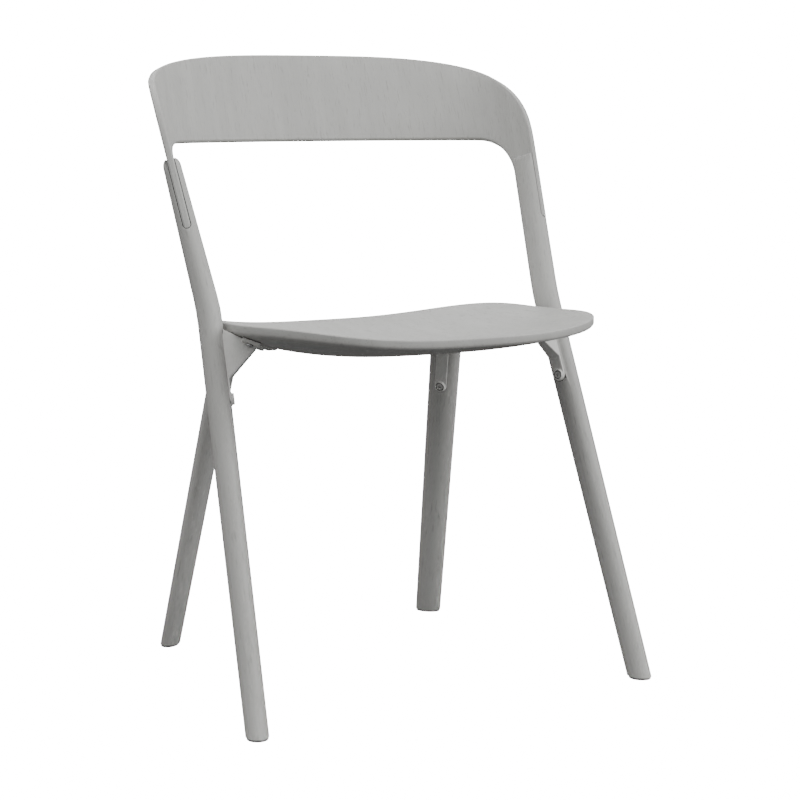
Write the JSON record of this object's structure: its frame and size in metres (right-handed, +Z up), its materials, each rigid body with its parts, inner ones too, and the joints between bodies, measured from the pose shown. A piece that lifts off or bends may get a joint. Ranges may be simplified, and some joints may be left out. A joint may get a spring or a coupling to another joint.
{
  "type": "side chair",
  "caption": "Stacking side chair with slanted oval wood uprights, splayed rear legs, dished ply seat and a wrap-around ply back band whose arms drop into slots in the uprights.",
  "frame": {"origin": "on the floor, under the middle of the chair's bounding box", "axes": "+Z up, +Y from the seat's front to the back, +X to the sitter's left, which is to the right in a view from the front"},
  "size_m": [0.5684, 0.5081, 0.7974],
  "materials": {
    "painted_ash": "light warm grey paint, satin, open grain showing through",
    "painted_ply": "light warm grey paint, satin, fine grain showing through",
    "painted_casting": "powder coat in the colour of the wood, fine satin texture",
    "painted_bolt": "coated in the bracket's colour, satin",
    "zinc_steel": "zinc plated",
    "insert_brass": "turned, plain",
    "glide_nylon": "dark nylon, matt"
  },
  "bodies": {
    "root": {"seat_shell": "painted_ply", "back_shell": "painted_ply", "front_upright_left": "painted_ash", "front_upright_right": "painted_ash", "rear_leg_left": "painted_ash", "rear_leg_right": "painted_ash", "front_bracket_left": "painted_casting", "front_bracket_right": "painted_casting", "rear_bracket_left": "painted_casting", "rear_bracket_right": "painted_casting", "leg_bolts": "painted_bolt", "bolt_washers": "zinc_steel", "leg_inserts": "insert_brass", "seat_screws": "zinc_steel", "seat_inserts": "insert_brass", "front_glide_left": "glide_nylon", "front_glide_right": "glide_nylon", "rear_glide_left": "glide_nylon", "rear_glide_right": "glide_nylon", "glide_pins": "zinc_steel"}
  },
  "joints": []
}
